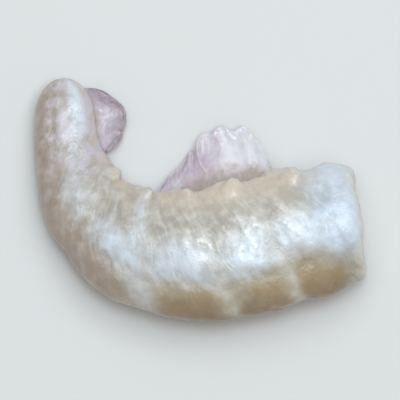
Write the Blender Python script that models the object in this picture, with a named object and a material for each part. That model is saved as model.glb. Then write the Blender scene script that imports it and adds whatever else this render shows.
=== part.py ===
"""Raw peeled prawn without its head and tail fan, one solid lying on its side.

The body is swept along a mid-line that curls towards the belly through six tail segments.
Neck to the right (+X), back outside the curl, belly inside it, right flank on the surface.
"""

import math

import bmesh
import bpy
from mathutils import Matrix, Vector, noise

MM = 0.001

# The stump of the neck, then six segments to the tail tip: length, depth from back to belly at
# the rear edge, and how far the mid-line turns towards the belly, in degrees
SEGMENTS = (
    (3.8 * MM, 15.3 * MM, -4.5),
    (7.4 * MM, 16.6 * MM, -3.5),
    (7.3 * MM, 16.5 * MM, 9.0),
    (8.4 * MM, 14.9 * MM, 23.0),
    (7.8 * MM, 11.7 * MM, 36.0),
    (6.7 * MM, 8.9 * MM, 24.0),
    (10.0 * MM, 6.2 * MM, 14.0),
)
NECK_DEPTH = 14.4 * MM
NECK_HEADING = 187.0

# Cross-section: side-to-side width as a share of the depth, how square its corners are, how much
# narrower it is at the belly, and how high its middle lies as a share of half the width
NECK_WIDTH_SHARE = 0.80
TAIL_WIDTH_SHARE = 0.72
SQUARENESS = 2.25
BELLY_PINCH = 0.12
SETTLE = 0.95

# Ends: length over which each end closes, and how blunt it is
NECK_CLOSE = 2.4 * MM
NECK_BLUNTNESS = 3.6
TAIL_CLOSE = 3.6 * MM
TAIL_BLUNTNESS = 2.1

# Relief of the flesh, with angles round the section in degrees from the middle of the back
SEGMENT_RISE = 0.60 * MM
SEGMENT_DIP = 0.36 * MM
SEGMENT_ARCH = 0.7
SEGMENT_SLANT = 1.6 * MM
BACK_GROOVE = 0.40 * MM
BACK_GROOVE_SPREAD = 9.0
SEAM_GROOVE = 0.30 * MM
SEAM_ANGLE = 58.0
SEAM_WAVE = 10.0
SEAM_SPREAD = 9.0
BELLY_GROOVE = 0.95 * MM
BELLY_GROOVE_SPREAD = 17.0
BELLY_RIB = 0.75
BELLY_RIB_SPREAD = 0.22
BUNDLE_RELIEF = 0.16 * MM
BUNDLE_PITCH = 2.6 * MM
BUNDLE_SLOPE = 4.5 * MM
BUNDLE_ANGLE = 98.0
BUNDLE_SPREAD = 35.0
UNEVEN_RELIEF = 0.35 * MM
UNEVEN_SIZE = 5.5 * MM
UNDERSIDE_SPREAD = 30.0

# Cut face of the neck: a shallow hollow between lobes of muscle, inside a smooth rim
FACE_HOLLOW = 0.9 * MM
FACE_LOBE = 0.40 * MM
FACE_LOBES = 4
FACE_RIM_SHARPNESS = 6

# Leg stubs, a pair on each segment but the last
STUB_SEGMENTS = range(1, 6)
STUB_ANGLE = 36.0
STUB_LENGTH = 3.5 * MM
STUB_WIDTH = 2.6 * MM
STUB_THICKNESS = 2.0 * MM
STUB_SINK = 1.9 * MM
STUB_LEAN = 0.4
STUB_RISE = 0.5

# Skin flaps along the belly: start and end along the mid-line, reach, scallops on the edge and
# how far the furthest reach is moved to the neck, and heights at the root and the edge
FLAPS = (
    {"start": 9.2 * MM, "end": 27.5 * MM, "reach": 6.9 * MM, "scallops": 4.3, "skew": 0.22,
     "root_height": 6.2 * MM, "edge_height": 1.2 * MM},
    {"start": 41.5 * MM, "end": 50.2 * MM, "reach": 3.8 * MM, "scallops": 1.0, "skew": -0.08,
     "root_height": 3.0 * MM, "edge_height": 1.5 * MM},
)
FLAP_SCALLOP = 0.05
FLAP_SCALLOP_PEAK = 0.27
FLAP_FULLNESS = 0.52
FLAP_ROOT_SINK = 1.8 * MM
FLAP_ROOT_THICK = 1.5 * MM
FLAP_EDGE_THICK = 0.6 * MM
FLAP_RIPPLE = 0.30 * MM
FLAP_RIPPLE_PITCH = 5.2 * MM
FLAP_RIPPLE_LAG = 2.0

# Mesh fineness
AROUND = 44
NECK_RINGS = 8
BODY_RINGS = 60
TAIL_RINGS = 6
AROUND_CROWDING = 0.20
FLAP_ROWS = 22
FLAP_COLUMNS = 6
MERGE = 0.004 * MM

FLESH_COLOUR = (0.52, 0.53, 0.47, 1.0)
FLESH_ROUGHNESS = 0.22

LENGTH = sum(length for length, depth, turn in SEGMENTS)


def running_total(start, steps):
    totals = [start]
    for step in steps:
        totals.append(totals[-1] + step)
    return totals


EDGES = running_total(0.0, [length for length, depth, turn in SEGMENTS])
DEPTHS = [NECK_DEPTH] + [depth for length, depth, turn in SEGMENTS]
HEADINGS = running_total(NECK_HEADING, [-turn for length, depth, turn in SEGMENTS])


def segment_at(along):
    """Index of the segment that holds a place along the mid-line, and the share of it passed."""
    inside = min(max(along, 0.0), LENGTH)
    index = 0
    while index < len(SEGMENTS) - 1 and inside > EDGES[index + 1]:
        index += 1
    return index, (inside - EDGES[index]) / (EDGES[index + 1] - EDGES[index])


def slope_at(values, index):
    low = max(index - 1, 0)
    high = min(index + 1, len(values) - 1)
    return (values[high] - values[low]) / (EDGES[high] - EDGES[low])


def smooth_between_edges(values, along):
    """A smooth curve through one value for each segment edge."""
    index, share = segment_at(along)
    length = EDGES[index + 1] - EDGES[index]
    square = share * share
    cube = square * share
    return (
        values[index] * (2 * cube - 3 * square + 1)
        + slope_at(values, index) * length * (cube - 2 * square + share)
        + values[index + 1] * (3 * square - 2 * cube)
        + slope_at(values, index + 1) * length * (cube - square)
    )


def direction_at(along):
    heading = math.radians(smooth_between_edges(HEADINGS, along))
    return Vector((math.cos(heading), math.sin(heading), 0.0))


def walk_midline(step=0.1 * MM):
    """Points of the mid-line, one for each step from the neck to the tail tip."""
    points = [Vector((0.0, 0.0, 0.0))]
    for count in range(math.ceil(LENGTH / step)):
        points.append(points[-1] + direction_at((count + 0.5) * step) * step)
    return points, step


MIDLINE, MIDLINE_STEP = walk_midline()


def midline_at(along):
    """A point of the mid-line, and the directions along it and out to the back."""
    inside = min(max(along, 0.0), LENGTH)
    index = min(int(inside / MIDLINE_STEP), len(MIDLINE) - 2)
    forward = direction_at(inside)
    point = MIDLINE[index] + forward * (along - index * MIDLINE_STEP)
    back = Vector((-forward.y, forward.x, 0.0))
    return point, forward, back


def half_sizes(along):
    """Half the depth and half the width of the body."""
    half_depth = smooth_between_edges(DEPTHS, along) / 2
    share = min(max(along / LENGTH, 0.0), 1.0)
    width_share = NECK_WIDTH_SHARE + (TAIL_WIDTH_SHARE - NECK_WIDTH_SHARE) * share ** 2
    return half_depth, half_depth * width_share


def bell(distance, spread):
    return math.exp(-((distance / spread) ** 2))


def relief(along, angle, place):
    """Height of the flesh over the plain section, at an angle from the middle of the back."""
    degrees = abs(math.degrees(math.remainder(angle, math.tau)))
    leaning = along + SEGMENT_SLANT * math.cos(angle)
    share = segment_at(leaning)[1]
    arch = math.sin(math.pi * share) ** SEGMENT_ARCH
    height = SEGMENT_RISE * arch - SEGMENT_DIP
    height -= BACK_GROOVE * bell(degrees, BACK_GROOVE_SPREAD)
    height -= SEAM_GROOVE * bell(degrees - SEAM_ANGLE - SEAM_WAVE * arch, SEAM_SPREAD)
    rib = BELLY_RIB * bell(share - 0.5, BELLY_RIB_SPREAD)
    height -= BELLY_GROOVE * bell(180.0 - degrees, BELLY_GROOVE_SPREAD) * (1 - rib)
    slanting = (along + BUNDLE_SLOPE * math.cos(angle)) / BUNDLE_PITCH
    flank = bell(degrees - BUNDLE_ANGLE, BUNDLE_SPREAD)
    height += BUNDLE_RELIEF * flank * math.sin(math.tau * slanting)
    height += UNEVEN_RELIEF * noise.noise(place / UNEVEN_SIZE)
    return height


def power(value, exponent):
    return math.copysign(abs(value) ** exponent, value)


def body_point(along, angle, scale):
    """A point of the body's surface; a scale under 1 lies on one of the closing ends."""
    point, forward, back = midline_at(along)
    half_depth, half_width = half_sizes(along)
    towards_back = power(math.cos(angle), 2 / SQUARENESS)
    upwards = power(math.sin(angle), 2 / SQUARENESS)
    pinch = 1 - BELLY_PINCH * max(-towards_back, 0.0) ** 2
    across = back * half_depth * towards_back
    across.z = half_width * upwards * pinch
    outward = back * math.cos(angle)
    outward.z = math.sin(angle)
    from_underside = math.degrees(math.remainder(angle + math.pi / 2, math.tau))
    height = relief(along, angle, point + across) * (1 - bell(from_underside, UNDERSIDE_SPREAD))
    height *= scale * half_depth / (max(DEPTHS) / 2)
    place = point + (across + outward * height) * scale
    place.z += half_width * SETTLE
    place.z = max(place.z, 0.0)
    return place


def neck_face_depth(share, angle):
    """How far the cut face lies behind its rim, at a share of the way out from its middle."""
    lobes = 0.5 - 0.5 * math.cos(FACE_LOBES * angle)
    depth = FACE_HOLLOW * (1 - share ** 2) + FACE_LOBE * lobes * math.sin(math.pi * share)
    return depth * (1 - share ** FACE_RIM_SHARPNESS)


def body_rings():
    """Each ring of the surface, from the middle of the cut neck to the tail tip."""
    rings = []
    for count in range(1, NECK_RINGS + 1):
        turn = math.pi / 2 * count / (NECK_RINGS + 1)
        scale = math.sin(turn) ** (2 / NECK_BLUNTNESS)
        along = NECK_CLOSE * (1 - math.cos(turn) ** (2 / NECK_BLUNTNESS))
        rings.append((along, scale, True))
    body_length = LENGTH - NECK_CLOSE - TAIL_CLOSE
    for count in range(BODY_RINGS + 1):
        rings.append((NECK_CLOSE + body_length * count / BODY_RINGS, 1.0, False))
    for count in range(1, TAIL_RINGS):
        turn = math.pi / 2 * count / TAIL_RINGS
        scale = math.cos(turn) ** (2 / TAIL_BLUNTNESS)
        along = LENGTH - TAIL_CLOSE * (1 - math.sin(turn) ** (2 / TAIL_BLUNTNESS))
        rings.append((along, scale, False))
    return rings


def angles_around():
    """Angles from the back, closer together at the back and the belly grooves."""
    turns = [math.tau * count / AROUND for count in range(AROUND)]
    return [turn - AROUND_CROWDING * math.sin(2 * turn) for turn in turns]


def body_mesh():
    mesh = bmesh.new()
    angles = angles_around()
    previous = None
    for along, scale, on_face in body_rings():
        ring = []
        for angle in angles:
            inset = neck_face_depth(scale, angle) if on_face else 0.0
            ring.append(mesh.verts.new(body_point(along + inset, angle, scale)))
        if previous is None:
            middle = mesh.verts.new(body_point(neck_face_depth(0.0, 0.0), 0.0, 0.0))
            close_ring(mesh, ring, middle, False)
        else:
            bridge(mesh, previous, ring)
        previous = ring
    tip = mesh.verts.new(body_point(LENGTH, 0.0, 0.0))
    close_ring(mesh, previous, tip, True)
    return mesh


def close_ring(mesh, ring, middle, at_tail):
    for index, vertex in enumerate(ring):
        following = ring[(index + 1) % len(ring)]
        corners = (vertex, following, middle) if at_tail else (following, vertex, middle)
        mesh.faces.new(corners)


def bridge(mesh, first, second):
    for index, vertex in enumerate(first):
        following = (index + 1) % len(first)
        mesh.faces.new((vertex, first[following], second[following], second[index]))


def stub_mesh(segment, side):
    """One short leg stub, leaning to the neck from the edge of the belly."""
    along = (EDGES[segment] + EDGES[segment + 1]) / 2
    angle = math.pi - side * math.radians(STUB_ANGLE)
    root = body_point(along, angle, 1.0)
    forward, back = midline_at(along)[1:]
    outward = back * math.cos(angle)
    outward.z = math.sin(angle) * STUB_RISE
    axis = (outward - forward * STUB_LEAN).normalized()
    size = (1 + half_sizes(along)[0] / (max(DEPTHS) / 2)) / 2
    mesh = bmesh.new()
    bmesh.ops.create_icosphere(mesh, subdivisions=2, radius=0.5)
    stretch = Matrix.Diagonal((STUB_THICKNESS, STUB_WIDTH, STUB_LENGTH, 1.0)) * size
    stretch[3][3] = 1.0
    turn = axis.to_track_quat("Z", "Y").to_matrix().to_4x4()
    centre = root + axis * (STUB_LENGTH / 2 - STUB_SINK) * size
    bmesh.ops.transform(mesh, matrix=Matrix.Translation(centre) @ turn @ stretch, verts=mesh.verts)
    return mesh


def flap_outline(flap, share):
    """Share of the full reach at a place along the flap."""
    skewed = share + flap["skew"] * math.sin(math.pi * share)
    turns = flap["scallops"] * (share - FLAP_SCALLOP_PEAK)
    scallop = FLAP_SCALLOP * (math.cos(math.tau * turns) - 1)
    return max(math.sin(math.pi * skewed), 0.0) ** FLAP_FULLNESS * (1 + scallop)


def flap_mesh(flap):
    """A thin wavy flap of skin from the belly line, drooping to just over the surface."""
    upper = []
    lower = []
    mesh = bmesh.new()
    for row in range(FLAP_ROWS + 1):
        share = row / FLAP_ROWS
        along = flap["start"] + (flap["end"] - flap["start"]) * share
        point, forward, back = midline_at(along)
        reach = flap["reach"] * flap_outline(flap, share)
        root = point - back * (half_sizes(along)[0] - FLAP_ROOT_SINK)
        above = []
        below = []
        for column in range(FLAP_COLUMNS + 1):
            out = column / FLAP_COLUMNS
            place = root - back * (FLAP_ROOT_SINK + reach) * out
            drop = math.sin(out * math.pi / 2)
            wave = math.sin(math.tau * along / FLAP_RIPPLE_PITCH + FLAP_RIPPLE_LAG * out)
            ripple = FLAP_RIPPLE * wave * out
            middle = flap["root_height"] + (flap["edge_height"] - flap["root_height"]) * drop
            half = (FLAP_ROOT_THICK + (FLAP_EDGE_THICK - FLAP_ROOT_THICK) * out) / 2
            above.append(mesh.verts.new((place.x, place.y, middle + ripple + half)))
            below.append(mesh.verts.new((place.x, place.y, middle + ripple - half)))
        upper.append(above)
        lower.append(below)
    for row in range(FLAP_ROWS):
        for column in range(FLAP_COLUMNS):
            for sheet in (upper, lower):
                near = sheet[row][column]
                far = sheet[row + 1][column]
                far_out = sheet[row + 1][column + 1]
                near_out = sheet[row][column + 1]
                mesh.faces.new((near, far, far_out))
                mesh.faces.new((near, far_out, near_out))
    rim = [(row, 0) for row in range(FLAP_ROWS)]
    rim += [(FLAP_ROWS, column) for column in range(FLAP_COLUMNS)]
    rim += [(row, FLAP_COLUMNS) for row in range(FLAP_ROWS, 0, -1)]
    rim += [(0, column) for column in range(FLAP_COLUMNS, 0, -1)]
    for index, (row, column) in enumerate(rim):
        next_row, next_column = rim[(index + 1) % len(rim)]
        mesh.faces.new((upper[row][column], upper[next_row][next_column],
                        lower[next_row][next_column], lower[row][column]))
    return mesh


def make_object(name, mesh, collection):
    """Turn a working mesh into an object with its faces pointing out."""
    bmesh.ops.recalc_face_normals(mesh, faces=mesh.faces)
    data = bpy.data.meshes.new(name)
    mesh.to_mesh(data)
    mesh.free()
    made = bpy.data.objects.new(name, data)
    collection.objects.link(made)
    return made


def flesh_material():
    material = bpy.data.materials.new("raw_prawn_flesh")
    material.use_nodes = True
    shader = material.node_tree.nodes["Principled BSDF"]
    shader.inputs["Base Color"].default_value = FLESH_COLOUR
    shader.inputs["Roughness"].default_value = FLESH_ROUGHNESS
    shader.inputs["Metallic"].default_value = 0.0
    return material


def join_pieces(prawn, pieces):
    """Fuse the stubs and flaps onto the body, then drop what they were made from."""
    fuse = prawn.modifiers.new("fuse", "BOOLEAN")
    fuse.operation = "UNION"
    fuse.operand_type = "COLLECTION"
    fuse.collection = pieces
    fuse.solver = "EXACT"
    depsgraph = bpy.context.evaluated_depsgraph_get()
    fused = bpy.data.meshes.new_from_object(prawn.evaluated_get(depsgraph))
    prawn.modifiers.remove(fuse)
    prawn.data = fused
    for piece in list(pieces.objects):
        bpy.data.objects.remove(piece)
    bpy.data.collections.remove(pieces)


def drop_scraps(mesh):
    """Keep the largest connected surface, without loose scraps or sealed pockets."""
    waiting = set(mesh.faces)
    islands = []
    while waiting:
        front = [waiting.pop()]
        reached = set(front)
        while front:
            for edge in front.pop().edges:
                fresh = [face for face in edge.link_faces if face not in reached]
                reached.update(fresh)
                front.extend(fresh)
        waiting -= reached
        islands.append(reached)
    largest = max(islands, key=len)
    scraps = [face for face in mesh.faces if face not in largest]
    bmesh.ops.delete(mesh, geom=scraps, context="FACES")


def tidy_and_place(prawn):
    """Merge slivers, split into triangles and stand the prawn on its bottom centre."""
    mesh = bmesh.new()
    mesh.from_mesh(prawn.data)
    bmesh.ops.remove_doubles(mesh, verts=mesh.verts, dist=MERGE)
    bmesh.ops.dissolve_degenerate(mesh, edges=mesh.edges, dist=MERGE)
    bmesh.ops.triangulate(mesh, faces=mesh.faces)
    drop_scraps(mesh)
    xs = [vertex.co.x for vertex in mesh.verts]
    ys = [vertex.co.y for vertex in mesh.verts]
    middle = Vector(((min(xs) + max(xs)) / 2, (min(ys) + max(ys)) / 2, 0.0))
    bmesh.ops.translate(mesh, verts=mesh.verts, vec=-middle)
    mesh.to_mesh(prawn.data)
    mesh.free()


def build_prawn():
    scene_collection = bpy.context.scene.collection
    pieces = bpy.data.collections.new("fused_pieces")
    scene_collection.children.link(pieces)
    prawn = make_object("prawn", body_mesh(), scene_collection)
    for segment in STUB_SEGMENTS:
        for side in (1, -1):
            make_object("leg_stub", stub_mesh(segment, side), pieces)
    for flap in FLAPS:
        make_object("skin_flap", flap_mesh(flap), pieces)
    join_pieces(prawn, pieces)
    tidy_and_place(prawn)
    prawn.data.materials.clear()
    prawn.data.materials.append(flesh_material())
    prawn.data.shade_smooth()


for leftover in list(bpy.data.objects):
    bpy.data.objects.remove(leftover)
build_prawn()
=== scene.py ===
"""Looks of a peeled raw prawn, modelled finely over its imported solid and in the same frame.

Neck at +X, back outside the curl, belly inside it, +Z up from the surface that it lies on.
"""

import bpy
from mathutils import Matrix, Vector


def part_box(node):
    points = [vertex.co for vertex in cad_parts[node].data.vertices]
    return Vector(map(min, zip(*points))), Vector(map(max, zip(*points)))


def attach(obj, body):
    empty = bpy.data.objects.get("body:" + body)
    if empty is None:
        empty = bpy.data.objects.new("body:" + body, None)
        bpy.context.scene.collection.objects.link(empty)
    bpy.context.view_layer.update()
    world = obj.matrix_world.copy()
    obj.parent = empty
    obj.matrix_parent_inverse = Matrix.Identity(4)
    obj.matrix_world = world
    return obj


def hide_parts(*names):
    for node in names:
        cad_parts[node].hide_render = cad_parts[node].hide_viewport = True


bl_info = {
    "name": "Peeled raw prawn",
    "version": (1, 0, 0),
    "blender": (4, 5, 0),
    "location": "3D View > Sidebar > Prawn",
    "description": "Builds the looks of a peeled raw prawn over its solid, and a plain stage",
    "category": "Object",
}

import math

import bmesh
import bpy
from bpy.props import FloatProperty, FloatVectorProperty, PointerProperty
from mathutils import Vector, noise

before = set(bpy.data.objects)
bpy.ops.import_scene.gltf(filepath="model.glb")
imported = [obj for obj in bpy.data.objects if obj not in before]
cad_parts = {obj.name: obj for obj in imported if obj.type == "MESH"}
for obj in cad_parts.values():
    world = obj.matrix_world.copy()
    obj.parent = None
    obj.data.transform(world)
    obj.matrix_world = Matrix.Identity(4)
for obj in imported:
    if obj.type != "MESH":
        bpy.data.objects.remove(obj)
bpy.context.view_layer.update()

MM = 0.001

# The stump of the neck, then six segments to the tail tip: length, depth from back to belly at
# the rear edge, and how far the mid-line turns towards the belly, in degrees
SEGMENTS = (
    (3.8 * MM, 15.3 * MM, -4.5),
    (7.4 * MM, 16.6 * MM, -3.5),
    (7.3 * MM, 16.5 * MM, 9.0),
    (8.4 * MM, 14.9 * MM, 23.0),
    (7.8 * MM, 11.7 * MM, 36.0),
    (6.7 * MM, 8.9 * MM, 24.0),
    (10.0 * MM, 6.2 * MM, 14.0),
)
NECK_DEPTH = 14.4 * MM
NECK_HEADING = 187.0

# Cross-section: side-to-side width as a share of the depth, how square its corners are, how much
# narrower it is at the belly, and how high its middle lies as a share of half the width
NECK_WIDTH_SHARE = 0.80
TAIL_WIDTH_SHARE = 0.72
SQUARENESS = 2.25
BELLY_PINCH = 0.12
SETTLE = 0.95

# Ends: length over which each end closes, and how blunt it is
NECK_CLOSE = 2.4 * MM
NECK_BLUNTNESS = 3.6
TAIL_CLOSE = 3.6 * MM
TAIL_BLUNTNESS = 2.1

# Broad relief of the flesh, with angles round the section in degrees from the middle of the back
SEGMENT_RISE = 0.60 * MM
SEGMENT_DIP = 0.36 * MM
SEGMENT_ARCH = 0.7
SEGMENT_VALLEY = 0.34
SEGMENT_SLANT = 1.6 * MM
CREST_FILL = 0.40
CREST_ANGLE = 92.0
CREST_SPREAD = 36.0
BACK_GROOVE = 0.40 * MM
BACK_GROOVE_SPREAD = 9.0
SEAM_GROOVE = 0.30 * MM
SEAM_ANGLE = 58.0
SEAM_WAVE = 10.0
SEAM_SPREAD = 9.0
BELLY_GROOVE = 0.95 * MM
BELLY_GROOVE_SPREAD = 17.0
BELLY_RIB = 0.75
BELLY_RIB_SPREAD = 0.22
BUNDLE_RELIEF = 0.025 * MM
BUNDLE_PITCH = 2.6 * MM
BUNDLE_SLOPE = 4.5 * MM
BUNDLE_ANGLE = 98.0
BUNDLE_SPREAD = 35.0
UNEVEN_RELIEF = 0.35 * MM
UNEVEN_SIZE = 5.5 * MM
UNDERSIDE_SPREAD = 30.0

# Lines between the segments: size of their wobble, how faint they are past an angle, the lip on
# the neck side of the groove, and how far the whitish band reaches to either side, as shares of
# the line's width
LINE_WOBBLE_SIZE = 3 * MM
LINE_FAINT = 0.38
LINE_FAINT_ANGLE = 55.0
LINE_FAINT_SPREAD = 32.0
LINE_LIP_LEAD = 0.8 * MM
LINE_LIP_SPREAD = 0.70 * MM
LINE_GROOVE_SPREAD = 0.42 * MM
LINE_REACH_TO_TAIL = 1.8
LINE_REACH_TO_NECK = 1.1

# Muscle fibres: size and strength of each of their swirls, and the patches where they are faint
FIBRE_SWIRLS = ((2.4 * MM, 1.1), (0.9 * MM, 0.35))
FIBRE_PATCH_SIZE = 2.0 * MM
FIBRE_PATCH_SHIFT = Vector((7.0, 3.0, 1.0))
FIBRE_FAINT = 0.35

# Cut face of the neck: its hollow and lobes, its torn rim with the fineness and strength of each
# noise in it, its muscle bundles, and how sharply each of these and its colour ends at the rim
FACE_HOLLOW = 0.9 * MM
FACE_LOBE = 0.40 * MM
FACE_LOBES = 4
FACE_RIM_SHARPNESS = 6
FACE_TINT_SHARPNESS = 14
RIM_TEARS = ((1.7, 1.0), (5.0, 0.6))
RIM_TEAR_SHARPNESS = 3
TEAR_LENGTH = 4.0 * MM
FACE_BUNDLE_BEND = 0.6 * MM
FACE_BUNDLE_BEND_SIZE = 2 * MM
FACE_BUNDLE_EDGE = 0.24
FACE_BUNDLE_SHARPNESS = 5

# Vein under the middle of the back: its spread in degrees, and how sharply it ends at both ends
VEIN_SPREAD = 4.6
VEIN_SHARPNESS = 8

# Leg stubs, a pair on each segment but the last. The grain is the size and strength of the finest
# noise in them
STUB_SEGMENTS = range(1, 6)
STUB_ANGLE = 36.0
STUB_REACH = 1.00 * MM
STUB_SPREAD = 1.30 * MM
STUB_FLATNESS = 1.2
STUB_BLUNTNESS = 2.8
STUB_LEAN = 0.4
STUB_RISE = 0.5
STUB_GRAIN = (0.3 * MM, 0.25)

# Skin flaps along the belly: start and end along the mid-line, reach, scallops on the edge and
# how far the furthest reach is moved to the neck, heights at the root and the edge, how strongly
# it is creased and torn, how much it looks thinner towards the tail and towards its rim, and the
# lobes of its rim: place along the flap, spread and reach
FLAPS = (
    {"name": "belly_skin", "start": 9.2 * MM, "end": 27.5 * MM, "reach": 6.9 * MM,
     "scallops": 4.3, "skew": 0.22, "root_height": 6.2 * MM, "edge_height": 1.2 * MM,
     "unevenness": 1.0, "thins_along": 1.0, "thins_out": 0.0,
     "lobes": ((0.09, 0.07, 2.2 * MM), (0.20, 0.04, -0.3 * MM), (0.55, 0.12, 0.7 * MM))},
    {"name": "tail_skin", "start": 41.5 * MM, "end": 50.2 * MM, "reach": 3.8 * MM,
     "scallops": 1.0, "skew": -0.08, "root_height": 3.0 * MM, "edge_height": 1.5 * MM,
     "unevenness": 0.45, "thins_along": 0.2, "thins_out": 1.0,
     "lobes": ((0.30, 0.10, -0.35 * MM), (0.66, 0.12, 0.25 * MM))},
)
FLAP_SCALLOP = 0.05
FLAP_SCALLOP_PEAK = 0.27
FLAP_FULLNESS = 0.52
FLAP_ROOT_SINK = 1.8 * MM
FLAP_RIPPLE = 0.30 * MM
FLAP_RIPPLE_PITCH = 5.2 * MM
FLAP_RIPPLE_LAG = 2.0

# Torn rim of a flap: size and strength of each noise in it, how far it is set in, and the share
# of the full reach from which on the rim is torn no more strongly
FLAP_TEARS = ((1.6 * MM, 1.0), (0.45 * MM, 0.4))
FLAP_TEAR_INSET = 0.2
FLAP_TEAR_FULL = 0.8

# Creases and narrow folds of a flap, which run from its root to its rim and bend a little
FLAP_BEND = 0.8
FLAP_BEND_SIZE = 2.6 * MM
FLAP_CREASE_GAIN = 1.6
FLAP_CREASE_CHANGE = 1.1
FLAP_CREASE_ONSET = 0.9
FLAP_FOLD_BEND = 1.4
FLAP_FOLD_CHANGE = 0.9
FLAP_FOLD_LAYER = 5.0
FLAP_FOLD_TOP = 0.6
FLAP_FOLD_FALL = 2.4
FLAP_FOLD_TINT = 0.3

# Thickness of a flap: how it falls towards the rim, where the rim's bead is, and from where on
# the skin looks thin
FLAP_THINNING = 0.5
FLAP_BEAD_PLACE = 0.965
FLAP_BEAD_SPREAD = 0.03
FLAP_THIN_FROM = 0.6

# Colours of the flesh: width of the noises, and where a zone begins and where it is full, in
# degrees from the middle of the back or as a share of the length from the neck
CLOUD_WIDTH = 4.2 * MM
MOTTLE_WIDTH = 1.3 * MM
GRAIN_WIDTH = 0.35 * MM
BACK_ANGLE = 53.0
BACK_MIDDLE_ZONE = (62.0, 14.0)
OUTER_ZONE = (104.0, 44.0)
BELLY_ZONE = (112.0, 150.0)
BEND_ZONE = (0.44, 0.62)
TAIL_ZONE = (0.68, 0.86)
NECK_ZONE = (0.17, 0.06)
NECK_FLANK_ZONE = (46.0, 84.0)
CREST_TINT_ANGLE = 81.0
FOLD_PLACE = 0.55
SPECK_SPACING = 0.7 * MM
SPECK_RADIUS = 0.09 * MM

# Colours of the skin: width of the noises, and how much the streaks are drawn out
SKIN_CLOUD_WIDTH = 3.4 * MM
SKIN_MOTTLE_WIDTH = 0.8 * MM
SKIN_STREAK_WIDTH = 0.45 * MM
SKIN_STREAK_STRETCH = (1.0, 0.22, 1.0)

# Wet, translucent look: how far red, green and blue light scatter, the wet film, the depth of the
# bump, and how deep light goes into the skin, as a share of how deep it goes into the flesh
SCATTER_OF_COLOURS = (1.0, 0.78, 0.58)
FLESH_IOR = 1.45
FLESH_SPECULAR = 0.7
FILM_IOR = 1.4
FLESH_FILM_ROUGHNESS = 0.13
SKIN_FILM_ROUGHNESS = 0.12
FLESH_BUMP = 0.22 * MM
SKIN_BUMP = 0.25 * MM
SKIN_SCATTER_SHARE = 0.12

# Soft lights: name, direction, distance and width in metres, and brightness. Then the light from
# all round, how far the floor is below the prawn, and from where on the camera sees
LIGHTS = (
    ("overhead", (0.12, 0.22, 1.0), 0.95, 0.76, 4.3),
    ("glint", (0.04, 0.14, 1.0), 0.90, 0.16, 18.0),
)
ROOM_BRIGHTNESS = 0.33
FLOOR_GAP = 0.02 * MM
CAMERA_NEAR = 10 * MM

# Mesh fineness: step along the mid-line, rings on the cut face, along the body and on the tail
# tip, points around, how they crowd, and the grid of a flap
MIDLINE_STEP = 0.1 * MM
FINE_RINGS = (56, 372, 26)
FINE_AROUND = 196
COARSE_RINGS = (8, 60, 6)
COARSE_AROUND = 44
AROUND_CROWDING = 0.20
FACE_CROWDING = 1.6
FLAP_ROWS = 180
FLAP_COLUMNS = 56

LENGTH = sum(length for length, depth, turn in SEGMENTS)


def srgb(red, green, blue):
    """A colour given in eight-bit screen values, as the linear values that Blender keeps."""
    shares = [value / 255 for value in (red, green, blue)]
    return [s / 12.92 if s <= 0.04045 else ((s + 0.055) / 1.055) ** 2.4 for s in shares]


def size(name, description, default):
    return FloatProperty(name=name, description=description, default=default, min=0.0,
                         precision=5, subtype="DISTANCE", unit="LENGTH")


def share(name, description, default):
    return FloatProperty(name=name, description=description, default=default, min=0.0,
                         max=1.0, subtype="FACTOR")


def colour(name, description, *screen_values):
    return FloatVectorProperty(name=name, description=description, subtype="COLOR", size=3,
                               default=srgb(*screen_values), min=0.0, max=1.0)


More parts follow.
